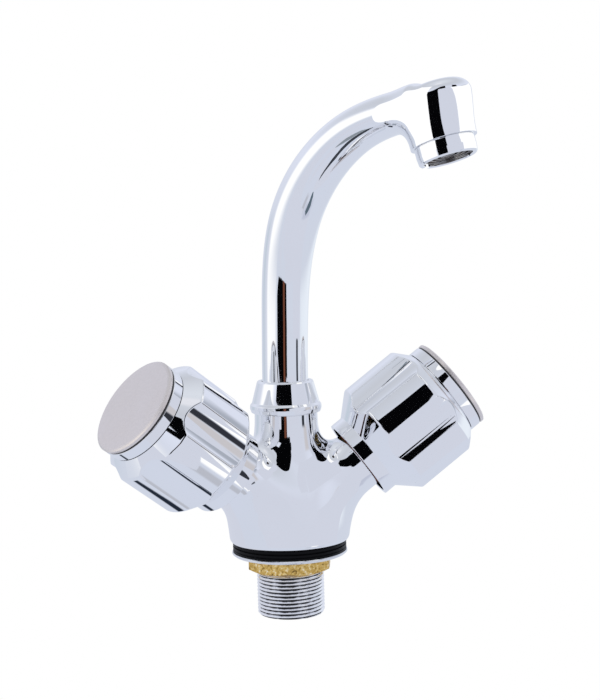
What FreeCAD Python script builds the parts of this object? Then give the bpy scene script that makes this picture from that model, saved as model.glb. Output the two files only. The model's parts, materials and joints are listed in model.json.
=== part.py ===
import FreeCAD, Part
import math
import os
from FreeCAD import Vector as V

# Twin-handle basin mixer tap with a swivelling swan-neck spout.
# Millimetres. +Z up. Origin: on the body axis, in the plane where the base gasket meets the deck.
# -Y is the front (user's side), +X is the user's right (cold side), -X is the hot side.

# ---------------------------------------------------------------- driving dimensions
# base, shank and deck clamp
GASKET_R, GASKET_H = 23.66, 2.66
GROOVE_W, GROOVE_D = 0.45, 0.75
BASE_R, BASE_ROUND = 24.8, 2.2
SHANK_R = 14.0            # M28 x 1.5 thread, major radius
SHANK_HIDDEN_R = 13.8     # the stretch under washer and nut
SHANK_BORE_R = 11.8
SHANK_BOTTOM = -27.8
SHANK_TOP = 10.95
THREAD_PITCH = 1.5
THREAD_DEPTH = 0.92
THREAD_TOP = -9.85
RUBBER_T, RUBBER_R = 1.20, 23.66
WASHER_T, WASHER_R = 1.62, 24.03
NUT_AF, NUT_H = 33.0, 6.4
NUT_BORE_R = 14.05
NUT_TURN_DEG = -3.3
# body
COLUMN_R = 13.0
COLUMN_TOP = 56.2
BOSS_R, BOSS_TOP = 10.9, 63.9
SOCKET_R = 8.55
ARM_Z0 = 12.4
ARM_ELEV = math.radians(36.64)
ARM_SPLAY = math.radians(12.7)
ARM_MOUTH = 37.5          # distance along the arm axis to its mouth
ARM_R = 12.6
CHAMBER_R = 9.3           # headwork thread, G1/2
PORT_X, PORT_R = 5.9, 4.5  # tail ports, M10 x 1
PORT_Z0, PORT_Z1 = 11.0, 22.0
# collar nut
COLLAR_Z0, COLLAR_Z1 = 56.5, 69.7
# spout
SPOUT_AZ = math.radians(-56.2)
SPOUT_FOOT_R = 8.50
SPOUT_BORE = 5.6
# centreline of the spout: (reach, height, half thickness in its plane, half width)
SPOUT_LINE = [
    (0.0, 66.7, 9.45, 9.45), (0.0, 69.4, 9.45, 9.45), (0.05, 72.4, 9.45, 9.45), (0.12, 76.8, 9.45, 9.45), (0.25, 82.0, 9.45, 9.45), (0.7, 94.0, 9.50, 9.60), (1.2, 104.0, 9.55, 9.95),
    (2.0, 113.0, 9.60, 10.50), (3.2, 121.5, 9.65, 11.20), (5.0, 129.5, 9.65, 11.90), (8.0, 138.5, 9.60, 12.45),
    (12.0, 146.2, 9.50, 12.80), (17.0, 153.4, 9.35, 13.00), (23.5, 160.3, 9.10, 13.10), (31.5, 166.6, 8.75, 13.15),
    (40.5, 171.4, 8.40, 13.15), (50.0, 174.4, 8.15, 13.10), (58.5, 176.0, 8.10, 13.05), (66.0, 176.6, 8.10, 12.90),
]
# outlet: face centre (reach, height), tilt of its axis from the vertical
OUT_H, OUT_Z, OUT_TILT = 77.9, 156.6, math.radians(16.47)
HEAD_R, HEAD_Z0, HEAD_Z1, HEAD_ROUND = 13.0, 6.75, 28.6, 5.5
HEAD_GROW, HEAD_LEAN, HEAD_RISE = 0.8, 2.1, 20.0   # wider and further out at the crown than at the mouth
# handles (distances along the arm axis)
SKIRT_R, SKIRT_IN = 18.0, 16.4
SKIRT_END, SHOULDER_0, GRIP_0, GRIP_1, GRIP_END = 42.9, 43.0, 51.4, 76.8, 82.0
GRIP_R, GRIP_END_R = 26.0, 20.3
FLUTES, FLUTE_R, FLUTE_FLOOR = 6, 14.3, 23.1
FLUTE_PHASE = {+1: 2.0, -1: 10.0}
CAP_R, CAP_0, CAP_1 = 20.4, 82.3, 87.1
DISC_R, DISC_0, DISC_1 = 20.4, 87.4, 89.3
# headwork (distances along the arm axis)
SEAT = 24.0
LIFT = 3.9375             # valve lift for 2.25 turns of a 1.75 mm lead


# ---------------------------------------------------------------- helpers
def rev(points, name=""):
    """Solid of revolution about Z from a closed outline of (radius, height) points."""
    pts = [V(r, 0, z) for r, z in points]
    pts.append(pts[0])
    return Part.Face(Part.makePolygon(pts)).revolve(V(0, 0, 0), V(0, 0, 1), 360)


def rev_wire(edges):
    return Part.Face(Part.Wire(edges)).revolve(V(0, 0, 0), V(0, 0, 1), 360)


def cyl(r, z0, z1, at=(0, 0)):
    return Part.makeCylinder(r, z1 - z0, V(at[0], at[1], z0))


def tube(ro, ri, z0, z1):
    return rev([(ri, z0), (ro, z0), (ro, z1), (ri, z1)])


def prism(n, af, z0, z1, turn=0.0):
    """Regular n-sided prism, af across flats."""
    rc = af / 2 / math.cos(math.pi / n)
    pts = [V(rc * math.cos(math.radians(turn) + 2 * math.pi * (i + 0.5) / n),
             rc * math.sin(math.radians(turn) + 2 * math.pi * (i + 0.5) / n), z0) for i in range(n)]
    pts.append(pts[0])
    return Part.Face(Part.makePolygon(pts)).extrude(V(0, 0, z1 - z0))


def arm_axes(side):
    ca, sa = math.cos(ARM_ELEV), math.sin(ARM_ELEV)
    a = V(side * ca * math.cos(ARM_SPLAY), -ca * math.sin(ARM_SPLAY), sa)
    u = a.cross(V(0, 0, 1))
    u.normalize()
    if u.y > 0:
        u = u * -1
    return u, a.cross(u), a


def to_arm(shape, side):
    u, w, a = arm_axes(side)
    m = FreeCAD.Matrix(u.x, w.x, a.x, 0, u.y, w.y, a.y, 0, u.z, w.z, a.z, ARM_Z0, 0, 0, 0, 1)
    s = shape.copy()
    s.Placement = FreeCAD.Placement(m)
    return s


def on_arm(side, dist):
    a = arm_axes(side)[2]
    return V(0, 0, ARM_Z0) + a * dist


def to_outlet(shape):
    """Local +Z runs up the outlet's axis from its lower face."""
    t = OUT_TILT
    m = FreeCAD.Matrix(math.cos(t), 0, -math.sin(t), OUT_H, 0, 1, 0, 0, math.sin(t), 0, math.cos(t), OUT_Z, 0, 0, 0, 1)
    s = shape.copy()
    s.Placement = FreeCAD.Placement(m)
    return to_spout(s)


def to_spout(shape):
    """Turn a shape built in the XZ plane to the spout's direction at rest."""
    s = shape.copy()
    s.rotate(V(0, 0, 0), V(0, 0, 1), math.degrees(SPOUT_AZ))
    return s


os.makedirs("parts", exist_ok=True)
SAVED = {}


def save(name, shape):
    solids = shape.Solids
    assert solids, name
    out = Part.Compound(solids) if len(solids) > 1 else solids[0]
    assert all(s.isValid() for s in solids), name + " is not valid"
    out.exportStep("parts/" + name + ".step")
    SAVED[name] = out
    print(name, len(solids), round(sum(s.Volume for s in solids), 2), [round(v, 2) for v in (out.BoundBox.XMin, out.BoundBox.YMin, out.BoundBox.ZMin, out.BoundBox.XMax, out.BoundBox.YMax, out.BoundBox.ZMax)])


# ---------------------------------------------------------------- body casting
def body_casting():
    # bell-shaped base and central column, one outline of revolution
    p0 = V(0, 0, GASKET_H)
    br, s45 = BASE_ROUND, math.sin(math.pi / 4)
    e = [Part.LineSegment(p0, V(BASE_R - br, 0, GASKET_H)).toShape()]
    e.append(Part.Arc(V(BASE_R - br, 0, GASKET_H), V(BASE_R - br + br * s45, 0, GASKET_H + br - br * s45), V(BASE_R, 0, GASKET_H + br)).toShape())
    e.append(Part.LineSegment(V(BASE_R, 0, GASKET_H + br), V(BASE_R, 0, 8.0)).toShape())
    sp = Part.BSplineCurve()
    knots = [(BASE_R, 8.0), (24.3, 13.0), (22.9, 18.5), (20.4, 25.0), (17.4, 32.0), (15.0, 39.5), (13.6, 47.0), (COLUMN_R, 53.0)]
    sp.interpolate([V(r, 0, z) for r, z in knots], InitialTangent=V(0, 0, 1), FinalTangent=V(0, 0, 1))
    e.append(sp.toShape())
    e.append(Part.LineSegment(V(COLUMN_R, 0, 53.0), V(COLUMN_R, 0, COLUMN_TOP)).toShape())
    e.append(Part.LineSegment(V(COLUMN_R, 0, COLUMN_TOP), V(BOSS_R, 0, COLUMN_TOP)).toShape())
    e.append(Part.LineSegment(V(BOSS_R, 0, COLUMN_TOP), V(BOSS_R, 0, BOSS_TOP)).toShape())
    e.append(Part.LineSegment(V(BOSS_R, 0, BOSS_TOP), V(0, 0, BOSS_TOP)).toShape())
    e.append(Part.LineSegment(V(0, 0, BOSS_TOP), p0).toShape())
    body = rev_wire(e)
    for side in (1, -1):
        arm = rev([(0, 6.0), (14.2, 6.0), (14.0, 12.0), (ARM_R, 31.0), (ARM_R, ARM_MOUTH), (0, ARM_MOUTH)])
        body = body.fuse(to_arm(arm, side))
    body = body.removeSplitter()
    # smooth the meeting lines of arms and column where the kernel allows it
    for radius in (7.0, 5.0, 3.5, 2.0):
        try:
            edges = []
            for ed in body.Edges:
                b = ed.BoundBox
                if ed.Curve.TypeId == "Part::GeomCircle" or ed.Length < 6:
                    continue
                if b.ZMin > 5 and b.ZMax < 52 and ed.Curve.TypeId == "Part::GeomBSplineCurve":
                    edges.append(ed)
            f = body.makeFillet(radius, edges)
            if f.isValid() and f.Volume > body.Volume * 0.98 and f.BoundBox.ZMax < BOSS_TOP + 0.01:
                print("blend radius", radius, len(edges), "edges")
                body = f
                break
        except Exception as err:
            print("no blend at", radius, err)
    # recess for the shank, with a floor that carries the two tail ports
    body = body.cut(cyl(SHANK_HIDDEN_R + 0.03, 0, PORT_Z0))
    for side in (1, -1):
        u, w, a = arm_axes(side)
        body = body.cut(cyl(PORT_R, 0, PORT_Z1, (side * PORT_X, 0)))
        # headwork chamber with a raised seat
        chamber = cyl(CHAMBER_R, SEAT - 1.2, ARM_MOUTH + 5).cut(tube(7.0, 5.0, SEAT - 2.0, SEAT))
        body = body.cut(to_arm(chamber, side))
        body = body.cut(to_arm(cyl(5.0, SEAT - 5.5, SEAT + 1), side))
        # supply drilling from port to seat
        p, q = V(side * PORT_X, 0, PORT_Z1 - 2.5), on_arm(side, SEAT - 2.5)
        body = body.cut(Part.makeCylinder(3.4, (q - p).Length, p, q - p))
        body = body.cut(Part.makeSphere(3.4, p))
        # mixed-water drilling from chamber to column
        p, q = on_arm(side, 31.5), V(0, 0, 43.5)
        body = body.cut(Part.makeCylinder(2.6, (q - p).Length, p, q - p))
    body = body.cut(cyl(6.0, 40.5, 49.0))
    body = body.cut(cyl(SOCKET_R, 48.6, BOSS_TOP + 1))
    # lead-in chamfer of the socket
    body = body.cut(rev([(0, BOSS_TOP - 0.6), (SOCKET_R, BOSS_TOP - 0.6), (SOCKET_R + 0.8, BOSS_TOP + 0.2), (0, BOSS_TOP + 0.2)]))
    return body


save("body_casting", body_casting())


# ---------------------------------------------------------------- shank, gasket, deck clamp
def threaded_shank():
    pts = [(SHANK_BORE_R, SHANK_TOP), (SHANK_HIDDEN_R, SHANK_TOP), (SHANK_HIDDEN_R, THREAD_TOP + 0.3)]
    root = SHANK_R - THREAD_DEPTH
    z = THREAD_TOP
    half = THREAD_DEPTH * math.tan(math.radians(30))
    crest = THREAD_PITCH / 8 + 0.05
    pts.append((root, THREAD_TOP + 0.3))
    pts.append((root, z + half))
    while z - crest - 2 * half > SHANK_BOTTOM + 0.1:
        pts += [(SHANK_R, z), (SHANK_R, z - crest), (root, z - crest - half), (root, z - THREAD_PITCH + half)]
        z -= THREAD_PITCH
    last = z + THREAD_PITCH - crest
    pts += [(root, SHANK_BOTTOM), (SHANK_BORE_R, SHANK_BOTTOM)]
    print("thread crests from", THREAD_TOP, "to", round(last, 4))
    return rev(pts)


save("threaded_shank", threaded_shank())


def base_gasket():
    mid = GASKET_H / 2
    g, d = GROOVE_W / 2, GROOVE_D
    return rev([(14.3, 0), (GASKET_R - 0.15, 0), (GASKET_R, 0.18), (GASKET_R, mid - g - 0.15), (GASKET_R - 0.2, mid - g), (GASKET_R - d, mid - g),
                (GASKET_R - d, mid + g), (GASKET_R - 0.2, mid + g), (GASKET_R, mid + g + 0.15), (GASKET_R, GASKET_H - 0.18), (GASKET_R - 0.15, GASKET_H), (14.3, GASKET_H)])


save("base_gasket", base_gasket())

z0 = -0.03
save("deck_rubber_washer", rev([(14.4, z0 - RUBBER_T), (RUBBER_R - 0.2, z0 - RUBBER_T), (RUBBER_R, z0 - RUBBER_T + 0.2), (RUBBER_R, z0 - 0.4), (RUBBER_R - 0.35, z0 - 0.12), (RUBBER_R - 0.35, z0), (14.4, z0)]))
z1 = z0 - RUBBER_T
# slightly dished steel washer with a rolled rim
save("clamp_washer", rev([(14.4, z1 - WASHER_T), (22.4, z1 - WASHER_T), (23.3, z1 - 1.35), (WASHER_R, z1 - 0.75), (WASHER_R, z1 - 0.25), (WASHER_R - 0.25, z1), (14.4, z1)]))
NUT_Z1 = z1 - WASHER_T - 0.02
NUT_Z0 = NUT_Z1 - NUT_H


def back_nut():
    n = prism(6, NUT_AF, NUT_Z0, NUT_Z1, NUT_TURN_DEG - 22.5)
    rc = NUT_AF / 2 / math.cos(math.pi / 6)
    # corners chamfered at both ends
    cone = rev([(0, NUT_Z0), (NUT_AF / 2 - 0.6, NUT_Z0), (rc + 0.3, NUT_Z0 + 1.9), (rc + 0.3, NUT_Z1 - 0.9), (NUT_AF / 2 + 0.6, NUT_Z1), (0, NUT_Z1)])
    n = n.common(cone).cut(cyl(NUT_BORE_R, NUT_Z0 - 1, NUT_Z1 + 1))
    n = n.cut(rev([(0, NUT_Z0 - 0.1), (NUT_BORE_R + 0.9, NUT_Z0 - 0.1), (NUT_BORE_R, NUT_Z0 + 0.8), (0, NUT_Z0 + 0.8)]))
    return n


save("back_nut", back_nut())

# ---------------------------------------------------------------- collar nut and swivel joint
save("spout_nut", rev([
    (10.95, COLLAR_Z0 - 0.25), (13.1, COLLAR_Z0 - 0.25), (14.33, COLLAR_Z0 + 0.15), (14.75, COLLAR_Z0 + 1.3), (14.9, COLLAR_Z0 + 2.3), (14.75, COLLAR_Z0 + 3.3),
    (14.2, COLLAR_Z0 + 3.9), (13.9, COLLAR_Z0 + 4.2), (11.75, COLLAR_Z1 - 0.7), (11.3, COLLAR_Z1), (10.2, COLLAR_Z1), (9.75, COLLAR_Z1 - 0.45), (9.75, 67.0), (10.95, 67.0)]))
save("spout_slide_washer", tube(10.6, 8.7, BOSS_TOP + 0.01, 64.6))


def split_ring():
    r = tube(10.6, 8.15, 64.75, 66.65)
    return r.cut(Part.makeBox(6, 1.6, 4, V(7, -0.8, 64)))


save("spout_retaining_ring", to_spout(split_ring()))
save("spout_orings", Part.Compound([Part.makeTorus(7.72, 0.79, V(0, 0, z)) for z in (53.2, 58.2)]))


# ---------------------------------------------------------------- spout
def smooth_line():
    return SPOUT_LINE


def ring(h, z, tx, tz, n, w):
    """Ellipse across the spout: half thickness n in the plane, half width w across it."""
    nx, nz = -tz, tx
    if w >= n - 1e-9:
        el = Part.Ellipse(V(h, w, z), V(h + nx * n, 0, z + nz * n), V(h, 0, z)) if w > n + 1e-6 else Part.Circle(V(h, 0, z), V(tx, 0, tz), n)
    return Part.Wire([el.toShape()])


def loft(line, dn, scale=1.0, start=0, stop=None):
    stop = len(line) if stop is None else stop
    wires = []
    for i in range(start, stop):
        h, z, n, w = line[i]
        a, b = line[max(i - 1, 0)], line[min(i + 1, len(line) - 1)]
        tx, tz = b[0] - a[0], b[1] - a[1]
        if i == 0:
            tx, tz = 0.0, 1.0
        L = math.hypot(tx, tz)
        tx, tz = tx / L, tz / L
        n2 = n - dn
        w2 = max(w - dn, n2 + 1e-3)
        pts = []
        for k in range(24):
            t = 2 * math.pi * k / 24
            pts.append(V(h + n2 * math.cos(t) * (-tz), w2 * math.sin(t), z + n2 * math.cos(t) * tx))
        c = Part.BSplineCurve()
        c.interpolate(pts, PeriodicFlag=True)
        wires.append(Part.Wire([c.toShape()]))
    return Part.makeLoft(wires, True, False)


def spout():
    outer = loft(SPOUT_LINE, 0.0)
    # head: round sections that widen and lean outwards towards the rounded crown
    a, b, f = HEAD_Z0, HEAD_Z1, HEAD_ROUND
    wires = []
    for z in (a, a + 2.5, a + 5, a + 7.5, a + 10, a + 12.5, a + 15, b - f, b - 4.4, b - 3.2, b - 2.1, b - 1.2, b - 0.5, b - 0.1):
        g = min(max((z - a) / HEAD_RISE, 0.0), 1.0)
        g = g * g * (3 - 2 * g)
        r = HEAD_R + HEAD_GROW * g
        if z > b - f:
            r = r - f + math.sqrt(max(f * f - (z - b + f) ** 2, 0.0))
        wires.append(Part.Wire([Part.Circle(V(HEAD_LEAN * g, 0, z), V(0, 0, 1), r).toShape()]))
    head = Part.makeLoft(wires, True, False)
    t = OUT_TILT
    m = FreeCAD.Matrix(math.cos(t), 0, -math.sin(t), OUT_H, 0, 1, 0, 0, math.sin(t), 0, math.cos(t), OUT_Z, 0, 0, 0, 1)

    def out(shape):
        q = shape.copy()
        q.Placement = FreeCAD.Placement(m)
        return q

    head = out(head)
    s1 = outer.fuse(head)
    # foot that turns in the column's socket, with two seal grooves and the retaining groove
    foot = rev([(0, 49.5), (SPOUT_FOOT_R - 0.5, 49.5), (SPOUT_FOOT_R, 50.0), (SPOUT_FOOT_R, 52.3), (6.9, 52.3), (6.9, 54.1), (SPOUT_FOOT_R, 54.1), (SPOUT_FOOT_R, 57.3),
                (6.9, 57.3), (6.9, 59.1), (SPOUT_FOOT_R, 59.1), (SPOUT_FOOT_R, 64.7), (8.1, 64.7), (8.1, 66.7), (0, 66.7)])
    s1 = s1.fuse(foot)
    # waterway
    inner = loft(SPOUT_LINE, 2.9, start=0, stop=len(SPOUT_LINE))
    s1 = s1.cut(inner)
    s1 = s1.cut(cyl(SPOUT_BORE, 49.0, 68.0))
    # outlet bore: thread for the aerator and the seal's shoulder
    s1 = s1.cut(out(cyl(11.05, HEAD_Z0 - 1, 15.3)))
    s1 = s1.cut(out(cyl(8.4, 15.0, 24.0)))
    return to_spout(s1)


save("spout", spout())

# ---------------------------------------------------------------- aerator
save("aerator_housing", to_outlet(
    rev([(9.55, 0.35), (9.9, 0.0), (11.0, 0.0), (11.45, 0.45), (11.75, 3.0), (11.75, 6.3), (11.45, 6.7), (10.95, 6.7), (10.95, 13.4), (10.6, 13.7), (9.9, 13.7), (9.9, 1.3), (9.55, 1.1)])
    .cut(Part.makeBox(3.0, 3.2, 2.2, V(-12.5, -1.6, -0.1)))))


def aerator_insert():
    b = cyl(9.8, 1.5, 12.6)
    # ring channels in the lower face and flow holes through the plate
    for r0, r1 in ((7.6, 8.7), (5.2, 6.3), (2.8, 3.9)):
        b = b.cut(tube(r1, r0, 1.0, 3.0))
    b = b.cut(cyl(8.2, 8.0, 13.0))
    holes = []
    for r, n in ((8.15, 0), (5.75, 12), (3.35, 8)):
        for k in range(n):
            t = 2 * math.pi * k / n
            holes.append(Part.makeCylinder(0.45, 12, V(r * math.cos(t), r * math.sin(t), 1.0)))
    b = b.cut(holes)
    return b


save("aerator_insert", to_outlet(aerator_insert()))
save("aerator_screen", to_outlet(cyl(8.1, 11.6, 12.0)))
save("aerator_seal", to_outlet(tube(10.6, 7.6, 13.75, 15.28)))


# ---------------------------------------------------------------- headworks and handles, one set per side
def spline_outline(r0, r1, teeth, z0, z1):
    pts = []
    for k in range(teeth):
        for f, r in ((0.0, r0), (0.25, r1), (0.5, r1), (0.75, r0)):
            t = 2 * math.pi * (k + f) / teeth
            pts.append(V(r * math.cos(t), r * math.sin(t), z0))
    pts.append(pts[0])
    return Part.Face(Part.makePolygon(pts)).extrude(V(0, 0, z1 - z0))


def bonnet():
    b = rev([(0, 29.0), (9.2, 29.0), (9.2, 38.1), (12.3, 38.1), (12.3, 43.0), (7.2, 43.6), (7.2, 53.6), (6.8, 54.0), (0, 54.0)])
    b = b.common(prism(6, 21.0, 38.1, 43.7).fuse(cyl(9.2, 29.0, 38.2)).fuse(cyl(7.2, 43.0, 54.0)))
    b = b.cut(prism(6, 11.3, 28.0, 36.6))
    b = b.cut(cyl(6.7, 36.55, 38.55))
    b = b.cut(cyl(4.05, 38.0, 55.0))
    # counterbore that the carrier's flange rises into when the valve is open
    b = b.cut(cyl(7.8, 28.0, 31.3))
    return b


def spindle():
    # the tip stays clear of the carrier's blind hole when the valve is fully open
    s = rev([(0, 30.8), (3.1, 30.8), (3.5, 31.2), (3.5, 36.65), (6.2, 36.65), (6.2, 38.4), (4.0, 38.4), (4.0, 44.0), (3.0, 44.0), (3.0, 45.6), (4.0, 45.6),
             (4.0, 48.0), (3.0, 48.0), (3.0, 49.6), (4.0, 49.6), (4.0, 54.2), (3.3, 54.2), (3.3, 55.1), (4.0, 55.1), (4.0, 56.0), (0, 56.0)])
    s = s.fuse(spline_outline(3.55, 3.95, 20, 55.9, 64.4))
    return s.cut(cyl(2.0, 57.0, 65.0))


def valve_carrier():
    c = prism(6, 11.0, 25.7, 32.45)
    c = c.common(rev([(0, 25.7), (5.9, 25.7), (6.35, 26.2), (6.35, 32.45), (0, 32.45)]))
    c = c.fuse(cyl(7.4, 25.7, 26.9))
    # rim that holds the rubber washer's edge
    c = c.fuse(tube(7.4, 6.95, 24.9, 25.8))
    c = c.cut(cyl(3.6, 26.5, 33.0))
    # tapped hole for the washer screw
    return c.cut(cyl(1.3, 25.0, 27.0))


def handle_shell(side):
    s = rev([(SKIRT_IN, ARM_MOUTH), (SKIRT_R - 0.25, ARM_MOUTH), (SKIRT_R, ARM_MOUTH + 0.25), (SKIRT_R, SKIRT_END), (SKIRT_R + 0.2, SHOULDER_0), (GRIP_R, GRIP_0), (GRIP_R, GRIP_1), (GRIP_END_R, GRIP_END),
             (17.4, GRIP_END), (17.4, 73.0), (6.0, 73.0), (6.0, 67.0), (2.3, 67.0), (2.3, 64.5), (7.95, 64.5), (7.95, 55.5), (10.5, 55.5), (10.5, 64.0), (20.6, 64.0), (20.6, 52.5), (SKIRT_IN, 47.0)])
    for k in range(FLUTES):
        t = math.radians(FLUTE_PHASE[side] + 360.0 * k / FLUTES)
        d = FLUTE_FLOOR + FLUTE_R
        s = s.cut(Part.makeCylinder(FLUTE_R, 60, V(d * math.cos(t), d * math.sin(t), 30)))
    return s


def handle_insert():
    b = cyl(7.9, 56.05, 64.45)
    return b.cut(spline_outline(3.6, 4.0, 20, 55.0, 65.0))


def cap_ring():
    return rev([(0, 83.0), (15.8, 83.0), (15.8, 76.0), (17.2, 76.0), (17.3, 76.2), (17.3, CAP_0), (CAP_R - 0.25, CAP_0), (CAP_R, CAP_0 + 0.25), (CAP_R, CAP_1 - 1.0), (CAP_R - 0.5, CAP_1 - 0.2), (CAP_R - 1.0, CAP_1), (15.2, CAP_1), (15.2, 86.0), (0, 86.0)])


def index_disc():
    return rev([(0, 86.05), (15.1, 86.05), (15.1, CAP_1 + 0.02), (15.1, DISC_0), (DISC_R - 0.35, DISC_0), (DISC_R, DISC_0 + 0.3), (DISC_R, DISC_1 - 0.55), (DISC_R - 0.7, DISC_1 - 0.12),
                (DISC_R - 1.4, DISC_1), (12.0, DISC_1 + 0.18), (6.0, DISC_1 + 0.26), (0, DISC_1 + 0.28)])


def screw(rh, hh, rs, z0, z1, drive):
    s = rev([(0, z0), (rs - 0.3, z0), (rs, z0 + 0.4), (rs, z1), (rh, z1), (rh, z1 + hh * 0.6), (rh * 0.72, z1 + hh), (0, z1 + hh)])
    for k in (0, 90):
        c = Part.makeBox(2 * drive, 0.9, hh, V(-drive, -0.45, z1 + hh * 0.35))
        c.rotate(V(0, 0, 0), V(0, 0, 1), k)
        s = s.cut(c)
    return s


for side, label in ((-1, "hot"), (1, "cold")):
    save(label + "_bonnet", to_arm(bonnet(), side))
    save(label + "_bonnet_gasket", to_arm(tube(12.2, 9.35, ARM_MOUTH + 0.01, 38.09), side))
    save(label + "_spindle", to_arm(spindle(), side))
    save(label + "_spindle_orings", to_arm(Part.Compound([Part.makeTorus(3.52, 0.5, V(0, 0, z)) for z in (44.8, 48.8)]), side))
    save(label + "_spindle_circlip", to_arm(tube(6.0, 3.35, 54.25, 55.05).cut(Part.makeBox(6, 3.0, 3, V(1.5, -1.5, 53.5))), side))
    save(label + "_valve_carrier", to_arm(valve_carrier(), side))
    save(label + "_seat_washer", to_arm(rev([(1.4, SEAT + 0.02), (6.5, SEAT + 0.02), (6.9, SEAT + 0.4), (6.9, 25.68), (1.4, 25.68)]).cut(cyl(2.9, 23.0, 24.85)), side))
    wscrew = rev([(0, 24.1), (2.0, 24.1), (2.7, 24.84), (1.25, 24.84), (1.25, 26.4), (0, 26.4)]).cut(Part.makeBox(6, 0.6, 0.5, V(-3, -0.3, 24.0)))
    save(label + "_washer_screw", to_arm(wscrew, side))
    save(label + "_handle_shell", to_arm(handle_shell(side), side))
    save(label + "_handle_insert", to_arm(handle_insert(), side))
    save(label + "_handle_screw", to_arm(screw(3.6, 2.4, 1.95, 58.0, 67.02, 2.2), side))
    save(label + "_index_cap", to_arm(cap_ring(), side))
    save(label + "_index_disc", to_arm(index_disc(), side))

print("nodes", len(SAVED))
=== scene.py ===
import json
import math

import bpy
import bmesh
import numpy as np
from mathutils import Matrix, Vector


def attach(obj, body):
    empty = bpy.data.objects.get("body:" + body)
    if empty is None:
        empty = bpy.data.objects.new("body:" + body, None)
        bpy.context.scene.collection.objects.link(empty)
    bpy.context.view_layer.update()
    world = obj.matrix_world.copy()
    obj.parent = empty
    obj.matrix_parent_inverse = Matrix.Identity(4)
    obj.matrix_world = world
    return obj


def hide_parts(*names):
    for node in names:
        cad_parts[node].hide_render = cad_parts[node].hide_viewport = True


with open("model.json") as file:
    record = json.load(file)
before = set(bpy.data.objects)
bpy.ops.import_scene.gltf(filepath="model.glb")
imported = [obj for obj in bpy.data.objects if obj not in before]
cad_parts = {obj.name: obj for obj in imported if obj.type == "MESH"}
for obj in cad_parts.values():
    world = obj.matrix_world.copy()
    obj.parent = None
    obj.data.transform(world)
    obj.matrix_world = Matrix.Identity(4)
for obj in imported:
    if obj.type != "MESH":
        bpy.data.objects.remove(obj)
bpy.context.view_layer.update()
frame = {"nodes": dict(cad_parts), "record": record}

MM = 0.001
SCENE = bpy.context.scene
COLL = SCENE.collection

# ------------------------------------------------------------------ dimensions in mm, as in the CAD
Z_ARM = 12.4
ELEV, SPLAY = math.radians(36.64), math.radians(12.7)
AZ = math.radians(-56.2)
OUT_H, OUT_Z, TILT = 77.9, 156.6, math.radians(16.47)
SPOUT_LINE = [
    (0.0, 58.0, 9.45, 9.45), (0.0, 66.7, 9.45, 9.45), (0.0, 69.4, 9.45, 9.45), (0.05, 72.4, 9.45, 9.45), (0.12, 76.8, 9.45, 9.45), (0.25, 82.0, 9.45, 9.45), (0.7, 94.0, 9.50, 9.60), (1.2, 104.0, 9.55, 9.95),
    (2.0, 113.0, 9.60, 10.50), (3.2, 121.5, 9.65, 11.20), (5.0, 129.5, 9.65, 11.90), (8.0, 138.5, 9.60, 12.45),
    (12.0, 146.2, 9.50, 12.80), (17.0, 153.4, 9.35, 13.00), (23.5, 160.3, 9.10, 13.10), (31.5, 166.6, 8.75, 13.15),
    (40.5, 171.4, 8.40, 13.15), (50.0, 174.4, 8.15, 13.10), (58.5, 176.0, 8.10, 13.05), (66.0, 176.6, 8.10, 12.90),
]
GRIP_R = 26.0


# ------------------------------------------------------------------ frames of the sub-assemblies
def arm_matrix(side):
    a = np.array([side * math.cos(ELEV) * math.cos(SPLAY), -math.cos(ELEV) * math.sin(SPLAY), math.sin(ELEV)])
    u = np.cross(a, [0, 0, 1.0])
    u /= np.linalg.norm(u)
    if u[1] > 0:
        u = -u
    w = np.cross(a, u)
    m = np.eye(4)
    m[:3, 0], m[:3, 1], m[:3, 2], m[:3, 3] = u, w, a, (0, 0, Z_ARM)
    return m


def outlet_matrix():
    t = TILT
    m = np.array([[math.cos(t), 0, -math.sin(t), OUT_H], [0, 1, 0, 0], [math.sin(t), 0, math.cos(t), OUT_Z], [0, 0, 0, 1.0]])
    c, s = math.cos(AZ), math.sin(AZ)
    r = np.array([[c, -s, 0, 0], [s, c, 0, 0], [0, 0, 1, 0], [0, 0, 0, 1.0]])
    return r @ m


def spout_matrix():
    c, s = math.cos(AZ), math.sin(AZ)
    return np.array([[c, -s, 0, 0], [s, c, 0, 0], [0, 0, 1, 0], [0, 0, 0, 1.0]])


ARM = {1: arm_matrix(1), -1: arm_matrix(-1)}
OUT = outlet_matrix()
SPT = spout_matrix()
IDENT = np.eye(4)


# ------------------------------------------------------------------ mesh building
def make_object(name, verts_mm, faces, normals=None, matrix=IDENT):
    """A mesh object at the origin. verts in mm in a local frame, normals per loop in the same local frame."""
    v = np.asarray(verts_mm, float)
    v = (v @ matrix[:3, :3].T + matrix[:3, 3]) * MM
    me = bpy.data.meshes.new(name)
    flat = [tuple(int(i) for i in f) for f in faces]
    me.from_pydata([tuple(p) for p in v], [], flat)
    me.polygons.foreach_set("use_smooth", [True] * len(me.polygons))
    me.update()
    if normals is not None:
        n = np.asarray(normals, float) @ matrix[:3, :3].T
        ln = np.linalg.norm(n, axis=1, keepdims=True)
        n = np.where(ln > 1e-9, n / np.maximum(ln, 1e-9), 0)
        if np.linalg.det(matrix[:3, :3]) < 0:
            n = -n
        me.normals_split_custom_set([tuple(x) for x in n])
    ob = bpy.data.objects.new(name, me)
    COLL.objects.link(ob)
    return ob


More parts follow.
